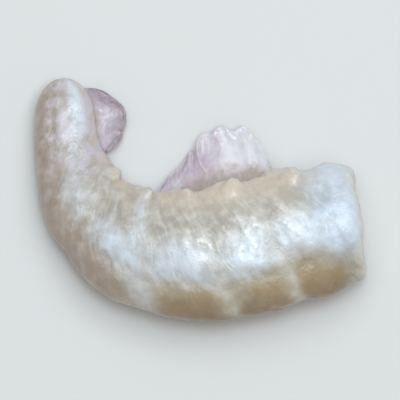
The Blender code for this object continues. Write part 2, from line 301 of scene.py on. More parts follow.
class FleshSettings(bpy.types.PropertyGroup):
    """Fine relief and finish of the flesh."""

    line_groove: size("Line groove", "Depth of the thin groove between two segments", 0.03 * MM)
    line_lip: size("Line lip", "Height of the lip in front of that groove", 0.04 * MM)
    line_width: size("Line width", "Width of the whitish tissue between the segments", 0.60 * MM)
    line_wobble: size("Line wobble", "How far the lines stray from an even slant", 0.45 * MM)
    fibre_relief: size("Fibre relief", "Height of the fine muscle fibres", 0.008 * MM)
    fibre_pitch: size("Fibre pitch", "Distance between two muscle fibres", 0.62 * MM)
    fibre_slope: size("Fibre slope", "How far a fibre runs along the body from back to belly",
                      5.0 * MM)
    lump_relief: size("Lump relief", "Height of the soft uneven lumps", 0.16 * MM)
    lump_size: size("Lump size", "Width of the soft uneven lumps", 2.4 * MM)
    pit_relief: size("Pit relief", "Height of the small unevenness", 0.050 * MM)
    pit_size: size("Pit size", "Width of the small unevenness", 0.95 * MM)
    bundle_size: size("Face bundle size", "Width of a bundle on the cut face", 1.25 * MM)
    bundle_relief: size("Face bundle relief", "Height of a bundle on the cut face", 0.13 * MM)
    rim_tear: size("Rim tear", "How uneven the torn rim of the neck is", 0.60 * MM)
    stub_tear: size("Stub tear", "How uneven the torn leg stubs are", 0.50 * MM)
    stub_lump: size("Stub lump", "Width of that unevenness", 0.80 * MM)
    scatter: size("Scatter", "How deep light goes into the flesh", 3.0 * MM)
    wetness: share("Wetness", "Cover of the wet film", 0.60)
    flank: colour("Flank", "Grey flesh of the flanks", 182, 177, 166)
    cloud: colour("Clouds", "Whitish clouds in the flesh", 212, 211, 204)
    # The crest colour is partly paler tissue along each flank and partly a painted highlight, the
    # sheen of the wet surface.
    crest_and_highlight: colour("Crest", "Paler flesh along the middle of each flank", 214, 222, 228)
    # The outer tan is partly the flesh's own tint and partly painted shade on the outer side of the
    # bend and tail.
    outer: colour("Outer bend", "Tan flesh of the bend and the tail's outer side", 169, 152, 138)
    # The brown of the back is partly the flesh's own tint and partly painted shade, darkest along the
    # middle of the back, which is the outline seen from above.
    back: colour("Back", "Brown-tinged flesh of the back", 170, 152, 121)
    back_middle_brown_and_shade: colour("Middle of the back", "Darkest flesh of the back", 146, 119, 84)
    line: colour("Lines", "Whitish tissue between the segments", 204, 199, 185)
    belly: colour("Belly", "Cream flesh of the belly", 217, 202, 184)
    neck: colour("Neck", "Blue-white flesh near the neck", 206, 217, 228)
    face: colour("Cut face", "Flesh of the cut neck", 226, 221, 214)
    tail: colour("Tail", "Lavender-grey flesh of the tail", 196, 188, 194)
    speck: colour("Specks", "Sparse red-brown colour spots", 120, 82, 62)
    vein: colour("Vein", "Dark line under the middle of the back", 96, 80, 62)


class SkinSettings(bpy.types.PropertyGroup):
    """Loose skin along the belly."""

    root_thickness: size("Root thickness", "Thickness of the skin at the belly", 0.80 * MM)
    rim_thickness: size("Rim thickness", "Thickness of the skin near its rim", 0.26 * MM)
    rim_bead: size("Rim bead", "Extra thickness of the curled rim", 0.20 * MM)
    crease_relief: size("Crease relief", "Height of the creases", 0.34 * MM)
    crease_width: size("Crease width", "Width of the creases", 2.2 * MM)
    fold_relief: size("Fold relief", "Height of the narrow folds", 0.20 * MM)
    fold_width: size("Fold width", "Width of the narrow folds", 2.0 * MM)
    lump_relief: size("Lump relief", "Height of the uneven lumps", 0.42 * MM)
    lump_size: size("Lump size", "Width of the uneven lumps", 2.8 * MM)
    tear: size("Tear", "How uneven the rim is", 0.55 * MM)
    opacity: share("Opacity", "Opacity of the skin at its rim", 0.84)
    belly_pale: colour("Belly skin", "Lavender-white of the belly skin", 231, 227, 231)
    belly_thin: colour("Thin belly skin", "Lavender of its thin folds", 200, 184, 196)
    tail_pale: colour("Tail skin", "Lavender-grey of the tail skin", 213, 204, 210)
    tail_thin: colour("Thin tail skin", "Rosy grey of its thin folds", 165, 149, 158)


class StageSettings(bpy.types.PropertyGroup):
    """Floor, light and camera."""

    view_width: size("View width", "Width of what the camera sees", 48.1 * MM)
    camera_distance: size("Camera distance", "Height of the camera", 650 * MM)
    floor_width: size("Floor width", "Width of the floor", 2400 * MM)
    floor: colour("Floor", "Pale floor", 212, 211, 208)
    daylight: colour("Daylight", "Colour of the soft lights", 234, 245, 255)
    room: colour("Room", "Colour of the light from all round", 255, 248, 238)


def running_total(start, steps):
    totals = [start]
    for step in steps:
        totals.append(totals[-1] + step)
    return totals


EDGES = running_total(0.0, [length for length, depth, turn in SEGMENTS])
DEPTHS = [NECK_DEPTH] + [depth for length, depth, turn in SEGMENTS]
HEADINGS = running_total(NECK_HEADING, [-turn for length, depth, turn in SEGMENTS])


def segment_at(along):
    """Index of the segment that holds a place along the mid-line, and the share of it passed."""
    inside = min(max(along, 0.0), LENGTH)
    index = 0
    while index < len(SEGMENTS) - 1 and inside > EDGES[index + 1]:
        index += 1
    return index, (inside - EDGES[index]) / (EDGES[index + 1] - EDGES[index])


def slope_at(values, index):
    """Slope of the curve through one value for each segment edge, at one of the edges."""
    low = max(index - 1, 0)
    high = min(index + 1, len(values) - 1)
    return (values[high] - values[low]) / (EDGES[high] - EDGES[low])


def smooth_between_edges(values, along):
    """A smooth curve through one value for each segment edge."""
    index, passed = segment_at(along)
    length = EDGES[index + 1] - EDGES[index]
    square = passed * passed
    cube = square * passed
    return (
        values[index] * (2 * cube - 3 * square + 1)
        + slope_at(values, index) * length * (cube - 2 * square + passed)
        + values[index + 1] * (3 * square - 2 * cube)
        + slope_at(values, index + 1) * length * (cube - square)
    )


def direction_at(along):
    """The way that the mid-line runs at a place along it."""
    heading = math.radians(smooth_between_edges(HEADINGS, along))
    return Vector((math.cos(heading), math.sin(heading), 0.0))


def walk_midline():
    """Points of the mid-line, one for each step from the neck to the tail tip."""
    points = [Vector((0.0, 0.0, 0.0))]
    for count in range(math.ceil(LENGTH / MIDLINE_STEP)):
        half_way = (count + 0.5) * MIDLINE_STEP
        points.append(points[-1] + direction_at(half_way) * MIDLINE_STEP)
    return points


MIDLINE = walk_midline()


def midline_at(along):
    """A point of the mid-line, and the directions along it and out to the back."""
    inside = min(max(along, 0.0), LENGTH)
    index = min(int(inside / MIDLINE_STEP), len(MIDLINE) - 2)
    forward = direction_at(inside)
    point = MIDLINE[index] + forward * (along - index * MIDLINE_STEP)
    return point, forward, Vector((-forward.y, forward.x, 0.0))


def half_sizes(along):
    """Half the depth and half the width of the body."""
    half_depth = smooth_between_edges(DEPTHS, along) / 2
    passed = min(max(along / LENGTH, 0.0), 1.0)
    width_share = NECK_WIDTH_SHARE + (TAIL_WIDTH_SHARE - NECK_WIDTH_SHARE) * passed ** 2
    return half_depth, half_depth * width_share


def bell(distance, spread):
    """1 at no distance, falling away smoothly over a spread."""
    return math.exp(-((distance / spread) ** 2))


def layered_noise(place, layers):
    """A sum of noises, each with its size and its strength."""
    return sum(strength * noise.noise(place / width) for width, strength in layers)


def power(value, exponent):
    """A power that keeps the sign of its value."""
    return math.copysign(abs(value) ** exponent, value)


def from_back(angle):
    """Degrees between a place on the section and the middle of the back."""
    return abs(math.degrees(math.remainder(angle, math.tau)))


def broad_relief(along, angle, place):
    """Height of the flesh over the plain section, as on the solid."""
    degrees = from_back(angle)
    passed = segment_at(along + SEGMENT_SLANT * math.cos(angle))[1]
    arch = math.hypot(math.sin(math.pi * passed), SEGMENT_VALLEY) ** SEGMENT_ARCH
    arch += (1 - arch) * CREST_FILL * bell(degrees - CREST_ANGLE, CREST_SPREAD)
    height = SEGMENT_RISE * arch - SEGMENT_DIP
    height -= BACK_GROOVE * bell(degrees, BACK_GROOVE_SPREAD)
    height -= SEAM_GROOVE * bell(degrees - SEAM_ANGLE - SEAM_WAVE * arch, SEAM_SPREAD)
    rib = BELLY_RIB * bell(passed - 0.5, BELLY_RIB_SPREAD)
    height -= BELLY_GROOVE * bell(180.0 - degrees, BELLY_GROOVE_SPREAD) * (1 - rib)
    slanting = (along + BUNDLE_SLOPE * math.cos(angle)) / BUNDLE_PITCH
    flank = bell(degrees - BUNDLE_ANGLE, BUNDLE_SPREAD)
    height += BUNDLE_RELIEF * flank * math.sin(math.tau * slanting)
    return height + UNEVEN_RELIEF * noise.noise(place / UNEVEN_SIZE)


def fine_relief(flesh, along, angle, place):
    """Height of the thin lines, fibres and lumps, and the traits that their finish reads."""
    degrees = from_back(angle)
    leaning = along + SEGMENT_SLANT * math.cos(angle)
    leaning += flesh.line_wobble * noise.noise(place / LINE_WOBBLE_SIZE)
    past_line = min((leaning - edge for edge in EDGES[2:-1]), key=abs)
    clear = bell(max(degrees - LINE_FAINT_ANGLE, 0.0), LINE_FAINT_SPREAD)
    clear = LINE_FAINT + (1 - LINE_FAINT) * clear
    height = flesh.line_lip * bell(past_line + LINE_LIP_LEAD, LINE_LIP_SPREAD) * clear
    height -= flesh.line_groove * bell(past_line, LINE_GROOVE_SPREAD) * clear
    phase = (along + flesh.fibre_slope * math.cos(angle)) / flesh.fibre_pitch
    phase += layered_noise(place, FIBRE_SWIRLS)
    patch = 2 * abs(noise.noise(place / FIBRE_PATCH_SIZE + FIBRE_PATCH_SHIFT))
    fibre = math.sin(math.tau * phase) * (FIBRE_FAINT + (1 - FIBRE_FAINT) * patch)
    height += flesh.fibre_relief * fibre
    height += flesh.lump_relief * noise.noise(place / flesh.lump_size)
    height += flesh.pit_relief * noise.noise(place / flesh.pit_size)
    passed = segment_at(leaning)[1]
    reach = LINE_REACH_TO_TAIL if past_line > 0 else LINE_REACH_TO_NECK
    traits = {
        "along": along / LENGTH,
        "degrees": degrees,
        "arch": math.sin(math.pi * passed) ** SEGMENT_ARCH,
        "line": bell(past_line, reach * flesh.line_width) * clear,
        "strand_phase": phase,
    }
    return height, traits


def add_stubs(place, forward, flesh):
    """Draw a point of the body out along the leg stubs near it. Also gives how far it is in one."""
    inside = 0.0
    for root, axis, full in STUBS:
        step = place - root
        along_body = step.dot(forward)
        across_body = (step - forward * along_body).length
        outwards = math.hypot(STUB_FLATNESS * along_body, across_body) / (full * STUB_SPREAD)
        swell = math.exp(-(outwards ** STUB_BLUNTNESS))
        torn = layered_noise(place, ((flesh.stub_lump, 1.0), STUB_GRAIN))
        place = place + axis * full * (STUB_REACH + flesh.stub_tear * torn) * swell
        inside += swell
    return place, inside


def body_point(along, angle, scale, flesh=None):
    """A point of the body and its traits; a scale under 1 lies on one of the closing ends."""
    point, forward, back = midline_at(along)
    half_depth, half_width = half_sizes(along)
    towards_back = power(math.cos(angle), 2 / SQUARENESS)
    upwards = power(math.sin(angle), 2 / SQUARENESS)
    across = back * half_depth * towards_back
    across.z = half_width * upwards * (1 - BELLY_PINCH * max(-towards_back, 0.0) ** 2)
    outward = back * math.cos(angle)
    outward.z = math.sin(angle)
    height = broad_relief(along, angle, point + across)
    traits = {}
    if flesh:
        fine, traits = fine_relief(flesh, along, angle, point + across)
        height += fine
    from_underside = math.degrees(math.remainder(angle + math.pi / 2, math.tau))
    height *= 1 - bell(from_underside, UNDERSIDE_SPREAD)
    height *= scale * half_depth / (max(DEPTHS) / 2)
    place = point + (across + outward * height) * scale
    place.z += half_width * SETTLE
    if flesh:
        place, traits["stub"] = add_stubs(place, forward, flesh)
    place.z = max(place.z, 0.0)
    return place, traits


def stub_root(segment, side):
    """Where a leg stub leaves the belly's edge, the way that it leans, and its share of full size."""
    along = (EDGES[segment] + EDGES[segment + 1]) / 2
    angle = math.pi - side * math.radians(STUB_ANGLE)
    root = body_point(along, angle, 1.0)[0]
    forward, back = midline_at(along)[1:]
    outward = back * math.cos(angle)
    outward.z = math.sin(angle) * STUB_RISE
    full = (1 + half_sizes(along)[0] / (max(DEPTHS) / 2)) / 2
    return root, (outward - forward * STUB_LEAN).normalized(), full


STUBS = [stub_root(segment, side) for segment in STUB_SEGMENTS for side in (1, -1)]


def neck_face_depth(out, angle):
    """How far the cut face lies behind its rim, at a share of the way out from its middle."""
    lobes = 0.5 - 0.5 * math.cos(FACE_LOBES * angle)
    depth = FACE_HOLLOW * (1 - out ** 2) + FACE_LOBE * lobes * math.sin(math.pi * out)
    return depth * (1 - out ** FACE_RIM_SHARPNESS)


def body_rings(neck_rings, middle_rings, tail_rings, crowding=1.0):
    """Each ring of the surface, from the middle of the cut neck to the tail tip."""
    rings = []
    for count in range(1, neck_rings + 1):
        turn = math.pi / 2 * (count / (neck_rings + 1)) ** crowding
        scale = math.sin(turn) ** (2 / NECK_BLUNTNESS)
        along = NECK_CLOSE * (1 - math.cos(turn) ** (2 / NECK_BLUNTNESS))
        rings.append((along, scale, True))
    middle_length = LENGTH - NECK_CLOSE - TAIL_CLOSE
    for count in range(middle_rings + 1):
        rings.append((NECK_CLOSE + middle_length * count / middle_rings, 1.0, False))
    for count in range(1, tail_rings):
        turn = math.pi / 2 * count / tail_rings
        scale = math.cos(turn) ** (2 / TAIL_BLUNTNESS)
        along = LENGTH - TAIL_CLOSE * (1 - math.sin(turn) ** (2 / TAIL_BLUNTNESS))
        rings.append((along, scale, False))
    return rings


def angles_around(points):
    """Angles from the back, closer together at the back and the belly grooves."""
    turns = [math.tau * count / points for count in range(points)]
    return [turn - AROUND_CROWDING * math.sin(2 * turn) for turn in turns]


def place_in_frame():
    """The step from the sweep, which starts at the neck, to the solid's place in the frame."""
    low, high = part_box("prawn")
    sample = [
        body_point(along + (neck_face_depth(scale, angle) if on_face else 0.0), angle, scale)[0]
        for along, scale, on_face in body_rings(*COARSE_RINGS)
        for angle in angles_around(COARSE_AROUND)
    ]
    middle_x = (min(p.x for p in sample) + max(p.x for p in sample)) / 2
    middle_y = (min(p.y for p in sample) + max(p.y for p in sample)) / 2
    return Vector(((low.x + high.x) / 2 - middle_x, (low.y + high.y) / 2 - middle_y, low.z))


SWEEP_TO_FRAME = place_in_frame()


class Surface:
    """Points, faces and traits of one piece, gathered before its mesh is made."""

    def __init__(self):
        self.points = []
        self.faces = []
        self.traits = {}

    def add(self, point, traits):
        self.points.append(point + SWEEP_TO_FRAME)
        for name, value in traits.items():
            self.traits.setdefault(name, []).append(value)
        return len(self.points) - 1

    def bridge(self, first, second):
        for index, corner in enumerate(first):
            following = (index + 1) % len(first)
            self.faces.append((corner, first[following], second[following], second[index]))

    def close(self, ring, middle):
        for index, corner in enumerate(ring):
            self.faces.append((corner, ring[(index + 1) % len(ring)], middle))


def add_piece(name, surface, material):
    """Make a piece's mesh with its traits, and let it stand for the solid on its body."""
    mesh = bmesh.new()
    corners = [mesh.verts.new(point) for point in surface.points]
    for face in surface.faces:
        mesh.faces.new([corners[index] for index in face])
    bmesh.ops.recalc_face_normals(mesh, faces=mesh.faces)
    data = bpy.data.meshes.new(name)
    mesh.to_mesh(data)
    mesh.free()
    for trait, values in surface.traits.items():
        data.attributes.new(trait, "FLOAT", "POINT").data.foreach_set("value", values)
    data.shade_smooth()
    data.materials.append(material)
    piece = bpy.data.objects.new(name, data)
    bpy.context.scene.collection.objects.link(piece)
    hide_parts("prawn")
    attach(piece, "root")


class Value:
    """A socket in a material, whose arithmetic adds Math nodes."""

    def __init__(self, finish, socket):
        self.finish = finish
        self.socket = socket

    def math(self, operation, *terms):
        return self.finish.node("ShaderNodeMath", {"operation": operation},
                                dict(enumerate(terms)))

    def __add__(self, other):
        return self.math("ADD", self, other)

    def __radd__(self, other):
        return self.math("ADD", other, self)

    def __sub__(self, other):
        return self.math("SUBTRACT", self, other)

    def __rsub__(self, other):
        return self.math("SUBTRACT", other, self)

    def __mul__(self, other):
        return self.math("MULTIPLY", self, other)

    def __rmul__(self, other):
        return self.math("MULTIPLY", other, self)

    def __abs__(self):
        return self.math("ABSOLUTE", self)


class Finish:
    """A material in the making. Every node comes from its node method."""

    def __init__(self, name):
        self.material = bpy.data.materials.new(name)
        self.material.use_nodes = True
        self.tree = self.material.node_tree
        self.tree.nodes.clear()
        self.place = self.node("ShaderNodeTexCoord", {}, {}, "Object")

    def node(self, kind, settings, inputs, output=0):
        """Add a node: its settings, then the values or links of its sockets. Gives an output."""
        made = self.tree.nodes.new(kind)
        for name, value in settings.items():
            setattr(made, name, value)
        for name, value in inputs.items():
            if isinstance(value, Value):
                self.tree.links.new(value.socket, made.inputs[name])
            else:
                made.inputs[name].default_value = value
        return Value(self, made.outputs[output]) if made.outputs else None

    def trait(self, name):
        """A number that the mesh holds at each of its points."""
        return self.node("ShaderNodeAttribute", {"attribute_name": name}, {}, "Fac")

    def rise(self, value, low, high):
        """0 at low and 1 at high, smoothly; low may be the larger."""
        return self.node("ShaderNodeMapRange", {"interpolation_type": "SMOOTHSTEP"},
                         {"Value": value, "From Min": low, "From Max": high})

    def noise(self, width, detail=2.0, stretch=(1.0, 1.0, 1.0)):
        """Noise from 0 to 1, with features of about a width."""
        place = self.node("ShaderNodeMapping", {}, {"Vector": self.place, "Scale": stretch})
        return self.node("ShaderNodeTexNoise", {},
                         {"Vector": place, "Scale": 1 / width, "Detail": detail})

    def fibres(self, turns, degrees):
        """Noise drawn out along the muscle fibres, a few turns wide and some degrees long."""
        across = self.trait("strand_phase") * turns
        length = self.trait("degrees") * (1 / degrees)
        place = self.node("ShaderNodeCombineXYZ", {}, {"X": across, "Y": length})
        return self.node("ShaderNodeTexNoise", {}, {"Vector": place, "Scale": 1.0, "Detail": 3.0})

    def spots(self, spacing, radius):
        """1 on sparse round spots, at some of the points of a scattered grid."""
        cells = {"Vector": self.place, "Scale": 1 / spacing, "Randomness": 1.0}
        distance = self.node("ShaderNodeTexVoronoi", {}, cells, "Distance")
        pick = self.node("ShaderNodeTexVoronoi", {}, cells, "Color")
        chosen = self.rise(self.node("ShaderNodeSeparateColor", {}, {"Color": pick}), 0.72, 0.80)
        return self.rise(distance, radius / spacing, 0.4 * radius / spacing) * chosen

    def mix(self, factor, first, second):
        """A colour between two others."""
        colours = [c if isinstance(c, Value) else (*c, 1.0) for c in (first, second)]
        return self.node("ShaderNodeMix", {"data_type": "RGBA", "clamp_factor": True},
                         {0: factor, 6: colours[0], 7: colours[1]}, 2)

    def shade(self, tint, amount):
        """A colour made lighter or darker."""
        return self.node("ShaderNodeVectorMath", {"operation": "SCALE"},
                         {0: tint, "Scale": amount})

    def bump(self, height, distance, strength=1.0):
        return self.node("ShaderNodeBump", {},
                         {"Height": height, "Distance": distance, "Strength": strength})

    def wet_flesh(self, sockets):
        """Close the material with a scattering, wet-coated shader."""
        shader = self.node("ShaderNodeBsdfPrincipled", {}, {
            "Subsurface Weight": 1.0,
            "Subsurface Radius": SCATTER_OF_COLOURS,
            "IOR": FLESH_IOR,
            "Specular IOR Level": FLESH_SPECULAR,
            "Coat IOR": FILM_IOR,
            **sockets,
        })
        self.node("ShaderNodeOutputMaterial", {}, {"Surface": shader})
        return self.material


class FleshFinish(Finish):
    """Translucent grey flesh: the flank and belly, then steps that each add to the tint."""

    def __init__(self, flesh):
        super().__init__("raw_prawn_flesh")
        self.flesh = flesh
        self.along = self.trait("along")
        self.degrees = self.trait("degrees")
        self.arch = self.trait("arch")
        self.face = self.trait("face")
        self.clouds = self.noise(CLOUD_WIDTH)
        self.drift = self.clouds - 0.5
        self.mottle = self.noise(MOTTLE_WIDTH, 4.0)
        self.grain = self.noise(GRAIN_WIDTH, 3.0)
        self.strands = self.fibres(0.7, 34.0)
        self.threads = self.rise(self.fibres(1.9, 22.0), 0.46, 0.64)
        self.back = self.back_cover()
        self.bend = self.rise(self.along + 0.12 * self.drift, *BEND_ZONE)

    def back_cover(self):
        """How far a point is in the brown of the back, partly the flesh's own tint and partly painted
        shade, which is narrower past the bend.
        """
        limit = BACK_ANGLE + 19.0 * self.arch - 26.0 * self.rise(self.along, 0.45, 0.80)
        limit = limit + 18.0 * self.rise(self.along, 0.32, 0.08)
        limit = limit + 40.0 * self.drift + 18.0 * (self.strands - 0.5)
        cover = self.rise(self.degrees, limit + 16.0, limit - 24.0)
        cover = cover * (0.2 + 0.8 * self.rise(self.along + 0.04 * self.drift, 0.035, 0.085))
        return cover * (1.0 - 0.5 * self.rise(self.along, 0.43, 0.52))

    def flank_and_belly(self):
        whitish = self.rise(0.5 * self.mottle + 0.5 * self.strands, 0.43, 0.62) * 0.65
        tint = self.mix(whitish + self.threads * 0.12, self.flesh.flank, self.flesh.cloud)
        belly = self.rise(self.degrees + 24.0 * self.drift, *BELLY_ZONE)
        return self.mix(belly * (0.6 + 0.6 * self.mottle), tint, self.flesh.belly)

    def brown_and_shaded_back(self, tint):
        # Brown tint with painted shade, darkest at the middle of the back.
        middle = self.rise(self.degrees + 30.0 * (self.mottle - 0.5), *BACK_MIDDLE_ZONE)
        brown = self.mix(middle, self.flesh.back, self.flesh.back_middle_brown_and_shade)
        amount = self.back * (0.52 + 0.46 * self.mottle + 0.46 * self.strands)
        return self.mix(amount, tint, brown)

    def pale_lines(self, tint):
        line = self.trait("line") * (0.38 + 0.85 * self.mottle)
        line = line * (0.25 + 0.75 * self.rise(self.degrees, 10.0, 38.0))
        return self.mix(line, tint, self.flesh.line)

    def bend_and_tail(self, tint):
        # Tan on the outer side of the bend and tail: partly the flesh's own tan and partly painted
        # shade.
        outer = self.rise(self.degrees + 36.0 * (self.mottle - 0.5), *OUTER_ZONE)
        tint = self.mix(self.bend * (0.24 + 0.66 * outer), tint, self.flesh.outer)
        tail = self.rise(self.along + 0.12 * self.drift, *TAIL_ZONE) * (1.0 - 0.7 * outer)
        patchy = 0.25 + 0.75 * self.rise(self.mottle, 0.36, 0.6)
        return self.mix(tail * patchy, tint, self.flesh.tail)

    def pale_crest_and_highlights(self, tint):
        """The pale band along the flank, partly paler tissue and partly a painted highlight of the
        wet sheen; painted highlight streaks past the bend and near the tail tip; and the pale fold
        across it.
        """
        strayed = self.degrees - CREST_TINT_ANGLE - 12.0 * self.rise(self.along, 0.40, 0.06)
        # Past the bend the band moves towards the belly, and near the tail tip it comes back
        # stronger: a painted highlight along the top of the tail.
        strayed = strayed - 30.0 * self.rise(self.along, 0.74, 0.88)
        strayed = strayed + 24.0 * self.drift + 20.0 * (self.strands - 0.5)
        crest_and_highlight = self.rise(abs(strayed), 24.0, 4.0) * (0.22 + 0.78 * self.arch)
        fading = self.rise(self.along, 0.56, 0.70) - 0.7 * self.rise(self.along, 0.82, 0.92)
        crest_and_highlight = crest_and_highlight * (1.0 - 0.6 * fading) * (0.45 + 0.9 * self.mottle)
        # Streaks past the bend are painted highlights along the tail.
        streaks = self.rise(self.strands + 0.4 * self.mottle, 0.62, 0.98)
        crest_and_highlight = crest_and_highlight + self.bend * streaks * 0.2
        fold = self.along - FOLD_PLACE - 0.0009 * (self.degrees - 90.0) + 0.04 * self.drift
        fold = self.rise(abs(fold), 0.040, 0.006) * self.rise(self.degrees, 2.0, 40.0)
        crest_and_highlight = crest_and_highlight + fold * (0.10 + 0.5 * self.mottle)
        return self.mix(crest_and_highlight, tint, self.flesh.crest_and_highlight)

    def blue_white_neck(self, tint):
        neck = self.rise(self.along + 0.06 * self.drift, *NECK_ZONE)
        neck = neck * self.rise(self.degrees, *NECK_FLANK_ZONE)
        return self.mix(neck * (0.45 + 0.8 * self.mottle), tint, self.flesh.neck)

    def stubs_and_cut_face(self, tint):
        stub = self.rise(self.trait("stub"), 0.10, 0.90) * (0.1 + 0.5 * self.mottle)
        tint = self.mix(stub, tint, self.flesh.line)
        cut = self.mix(self.rise(self.mottle, 0.35, 0.75) * 0.7, self.flesh.face,
                       self.flesh.flank)
        cut = self.mix(self.trait("bundle_edge") * 0.6, cut, self.flesh.belly)
        return self.mix(self.face, tint, cut)

    def vein_and_specks(self, tint):
        vein = self.trait("vein") * self.rise(self.clouds + 0.5 * self.grain, 0.50, 0.95)
        tint = self.mix(vein * 0.75, tint, self.flesh.vein)
        specks = self.spots(SPECK_SPACING, SPECK_RADIUS) * self.back * 0.4
        return self.mix(specks, tint, self.flesh.speck)

    def whole(self):
        """The material, with all its steps."""
        tint = self.flank_and_belly()
        for step in (self.brown_and_shaded_back, self.pale_lines, self.bend_and_tail, self.pale_crest_and_highlights,
                     self.blue_white_neck, self.stubs_and_cut_face, self.vein_and_specks):
            tint = step(tint)
        light = 0.77 + 0.24 * self.mottle + 0.10 * self.grain + 0.03 * self.threads
        # Towards the cut neck the colour is a little darker: painted shade that dims the highlights
        # at that end.
        light = light + 0.06 * self.clouds - 0.03 * self.rise(self.along, 0.10, 0.05)
        film = self.rise(self.mottle + 0.5 * self.grain, 0.58, 0.84)
        height = 0.4 * self.grain + 0.8 * self.mottle + 0.05 * self.threads
        return self.wet_flesh({
            "Base Color": self.shade(tint, light),
            "Roughness": 0.20 + 0.28 * self.mottle + 0.08 * self.face,
            "Coat Weight": self.flesh.wetness * film,
            "Coat Roughness": FLESH_FILM_ROUGHNESS,
            "Subsurface Scale": self.flesh.scatter,
            "Normal": self.bump(height, FLESH_BUMP, 0.9),
        })


def skin_finish(name, flesh, skin, pale, thin_tint):
    """Thin lavender skin, more see-through at its rim."""
    finish = Finish(name)
    out = finish.trait("out")
    crease = finish.trait("crease")
    clouds = finish.noise(SKIN_CLOUD_WIDTH)
    mottle = finish.noise(SKIN_MOTTLE_WIDTH, 4.0)
    streaks = finish.noise(SKIN_STREAK_WIDTH, 3.0, SKIN_STREAK_STRETCH)
    fold = 0.22 * crease - 0.9 * (clouds - 0.5) - 0.6 * (mottle - 0.5)
    thin = finish.rise(0.5 - fold + finish.trait("thinness"), 0.10, 1.00)
    tint = finish.mix(thin * 0.95, pale, thin_tint)
    root = finish.rise(out + 0.3 * (mottle - 0.5), 0.52, 0.22)
    tint = finish.mix(0.8 * root, tint, flesh.outer)
    cover = skin.opacity + (1 - skin.opacity) * finish.rise(out, 0.95, 0.45)
    return finish.wet_flesh({
        "Base Color": finish.shade(tint, 0.90 + 0.08 * streaks + 0.10 * mottle),
        "Roughness": 0.22 + 0.26 * mottle,
        "Coat Weight": flesh.wetness * finish.rise(mottle, 0.35, 0.65),
        "Coat Roughness": SKIN_FILM_ROUGHNESS,
        "Subsurface Scale": SKIN_SCATTER_SHARE * flesh.scatter,
        "Alpha": cover * (0.97 + 0.06 * streaks),
        "Normal": finish.bump(0.5 * streaks + 0.9 * mottle, SKIN_BUMP, 0.9),
    })


def rim_tear(flesh, along, angle, out):
    """How far the torn neck reaches out or falls back at an angle, fading along the body."""
    around = Vector((math.cos(angle), math.sin(angle), 0.0))
    uneven = sum(strength * noise.noise(around * fineness) for fineness, strength in RIM_TEARS)
    fade = max(1 - along / TEAR_LENGTH, 0.0) ** 2
    return flesh.rim_tear * uneven * fade * out ** RIM_TEAR_SHARPNESS


def face_bundles(flesh, out, angle):
    """Relief of the muscle bundles on the cut face, and how close a point is to their edges."""
    half_depth, half_width = half_sizes(0.0)
    spot = Vector((math.cos(angle) * half_depth * out, math.sin(angle) * half_width * out, 0.0))
    place = spot / FACE_BUNDLE_BEND_SIZE
    spot += Vector((noise.noise(place), noise.noise(-place), 0.0)) * FACE_BUNDLE_BEND
    distances = noise.voronoi(spot / flesh.bundle_size)[0]
    edge = bell(distances[1] - distances[0], FACE_BUNDLE_EDGE)
    calm = 1 - out ** FACE_BUNDLE_SHARPNESS
    return flesh.bundle_relief * (1 - edge) * calm, edge * calm


def flesh_surface(flesh):
    """The body, from the middle of the cut neck to the tail tip."""
    surface = Surface()
    angles = angles_around(FINE_AROUND)
    previous = None
    for along, scale, on_face in body_rings(*FINE_RINGS, FACE_CROWDING):
        ring = []
        for angle in angles:
            inset, rise, edge = 0.0, 0.0, 0.0
            if on_face:
                inset = neck_face_depth(scale, angle)
                rise, edge = face_bundles(flesh, scale, angle)
            place, traits = body_point(along + inset, angle, scale, flesh)
            outwards = rise + rim_tear(flesh, along, angle, scale)
            place -= direction_at(0.0) * outwards
            traits["face"] = 1 - scale ** FACE_TINT_SHARPNESS if on_face else 0.0
            traits["bundle_edge"] = edge
            traits["vein"] = bell(traits["degrees"], VEIN_SPREAD) * scale ** VEIN_SHARPNESS
            ring.append(surface.add(place, traits))
        if previous is None:
            surface.close(ring, add_middle(surface, neck_face_depth(0.0, 0.0), flesh, 1.0))
        else:
            surface.bridge(previous, ring)
        previous = ring
    surface.close(previous, add_middle(surface, LENGTH, flesh, 0.0))
    return surface


def add_middle(surface, along, flesh, face):
    """Add the point that closes the body at one of its ends."""
    place, traits = body_point(along, 0.0, 0.0, flesh)
    return surface.add(place, {**traits, "face": face, "bundle_edge": 0.0, "vein": 0.0})


def flap_outline(flap, along_share):
    """Share of the full reach at a place along the flap."""
    skewed = along_share + flap["skew"] * math.sin(math.pi * along_share)
    turns = flap["scallops"] * (along_share - FLAP_SCALLOP_PEAK)
    scallop = FLAP_SCALLOP * (math.cos(math.tau * turns) - 1)
    return max(math.sin(math.pi * skewed), 0.0) ** FLAP_FULLNESS * (1 + scallop)


def flap_rim(skin, flap, along_share, root, back):
    """A point on the torn, lobed rim of a flap."""
    outline = flap_outline(flap, along_share)
    rim = root - back * (FLAP_ROOT_SINK + flap["reach"] * outline)
    tear = layered_noise(rim, FLAP_TEARS) - FLAP_TEAR_INSET
    rim -= back * skin.tear * tear * min(outline, FLAP_TEAR_FULL) * flap["unevenness"]
    for middle, spread, lobe in flap["lobes"]:
        rim -= back * lobe * bell(along_share - middle, spread) * outline
    return rim


